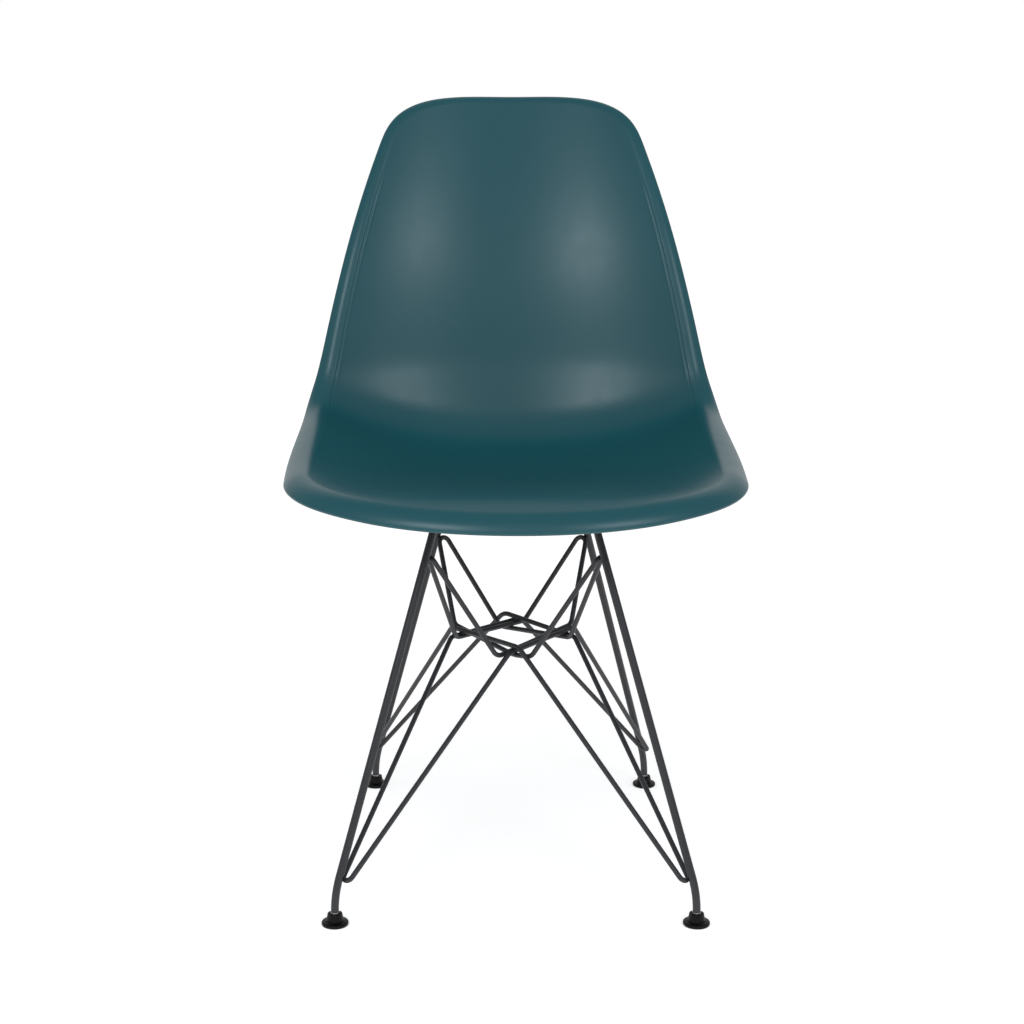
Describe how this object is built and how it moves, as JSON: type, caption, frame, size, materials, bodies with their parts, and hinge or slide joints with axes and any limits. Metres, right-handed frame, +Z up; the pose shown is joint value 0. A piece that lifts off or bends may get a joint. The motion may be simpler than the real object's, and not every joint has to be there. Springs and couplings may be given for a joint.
{
  "type": "side chair",
  "caption": "Side chair with a one-piece moulded plastic shell seat and back on a base of bent steel rod and welded wire, with tilting glides.",
  "frame": {"origin": "on the floor under the middle of the chair's overall box", "axes": "+Z up, -Y is the way the sitter faces, +X is to the right as seen from in front of the chair"},
  "size_m": [0.467, 0.531, 0.8109],
  "materials": {
    "shell_plastic": "satin, fine moulded grain, deep teal",
    "base_paint": "satin dark grey powder coat",
    "glide_nylon": "black nylon, satin",
    "mount_rubber": "matte black",
    "fastener_steel": "zinc plated",
    "brass_inserts": "turned"
  },
  "bodies": {
    "chair": {"seat_shell": "shell_plastic", "threaded_insert_front_left": "brass_inserts", "shock_mount_front_left": "mount_rubber", "mount_cup_front_left": "base_paint", "mount_screw_front_left": "fastener_steel", "glide_ball_front_left": "fastener_steel", "threaded_insert_front_right": "brass_inserts", "shock_mount_front_right": "mount_rubber", "mount_cup_front_right": "base_paint", "mount_screw_front_right": "fastener_steel", "glide_ball_front_right": "fastener_steel", "threaded_insert_rear_left": "brass_inserts", "shock_mount_rear_left": "mount_rubber", "mount_cup_rear_left": "base_paint", "mount_screw_rear_left": "fastener_steel", "glide_ball_rear_left": "fastener_steel", "threaded_insert_rear_right": "brass_inserts", "shock_mount_rear_right": "mount_rubber", "mount_cup_rear_right": "base_paint", "mount_screw_rear_right": "fastener_steel", "glide_ball_rear_right": "fastener_steel", "side_frame_left": "base_paint", "upper_wire_left": "base_paint", "lower_wire_left": "base_paint", "side_frame_right": "base_paint", "upper_wire_right": "base_paint", "lower_wire_right": "base_paint"},
    "front_left_glide": {"glide_front_left": "glide_nylon"},
    "front_right_glide": {"glide_front_right": "glide_nylon"},
    "rear_left_glide": {"glide_rear_left": "glide_nylon"},
    "rear_right_glide": {"glide_rear_right": "glide_nylon"}
  },
  "joints": [
    {"name": "front_left_glide_tilt", "type": "hinge", "parent": "chair", "child": "front_left_glide", "pos_m": [-0.17996, -0.21296, 0.0067], "axis": [1, 0, 0], "range_deg": [-8, 8]},
    {"name": "front_right_glide_tilt", "type": "hinge", "parent": "chair", "child": "front_right_glide", "pos_m": [0.17996, -0.21296, 0.0067], "axis": [1, 0, 0], "range_deg": [-8, 8]},
    {"name": "rear_left_glide_tilt", "type": "hinge", "parent": "chair", "child": "rear_left_glide", "pos_m": [-0.16134, 0.18874, 0.0067], "axis": [1, 0, 0], "range_deg": [-8, 8]},
    {"name": "rear_right_glide_tilt", "type": "hinge", "parent": "chair", "child": "rear_right_glide", "pos_m": [0.16134, 0.18874, 0.0067], "axis": [1, 0, 0], "range_deg": [-8, 8]}
  ]
}
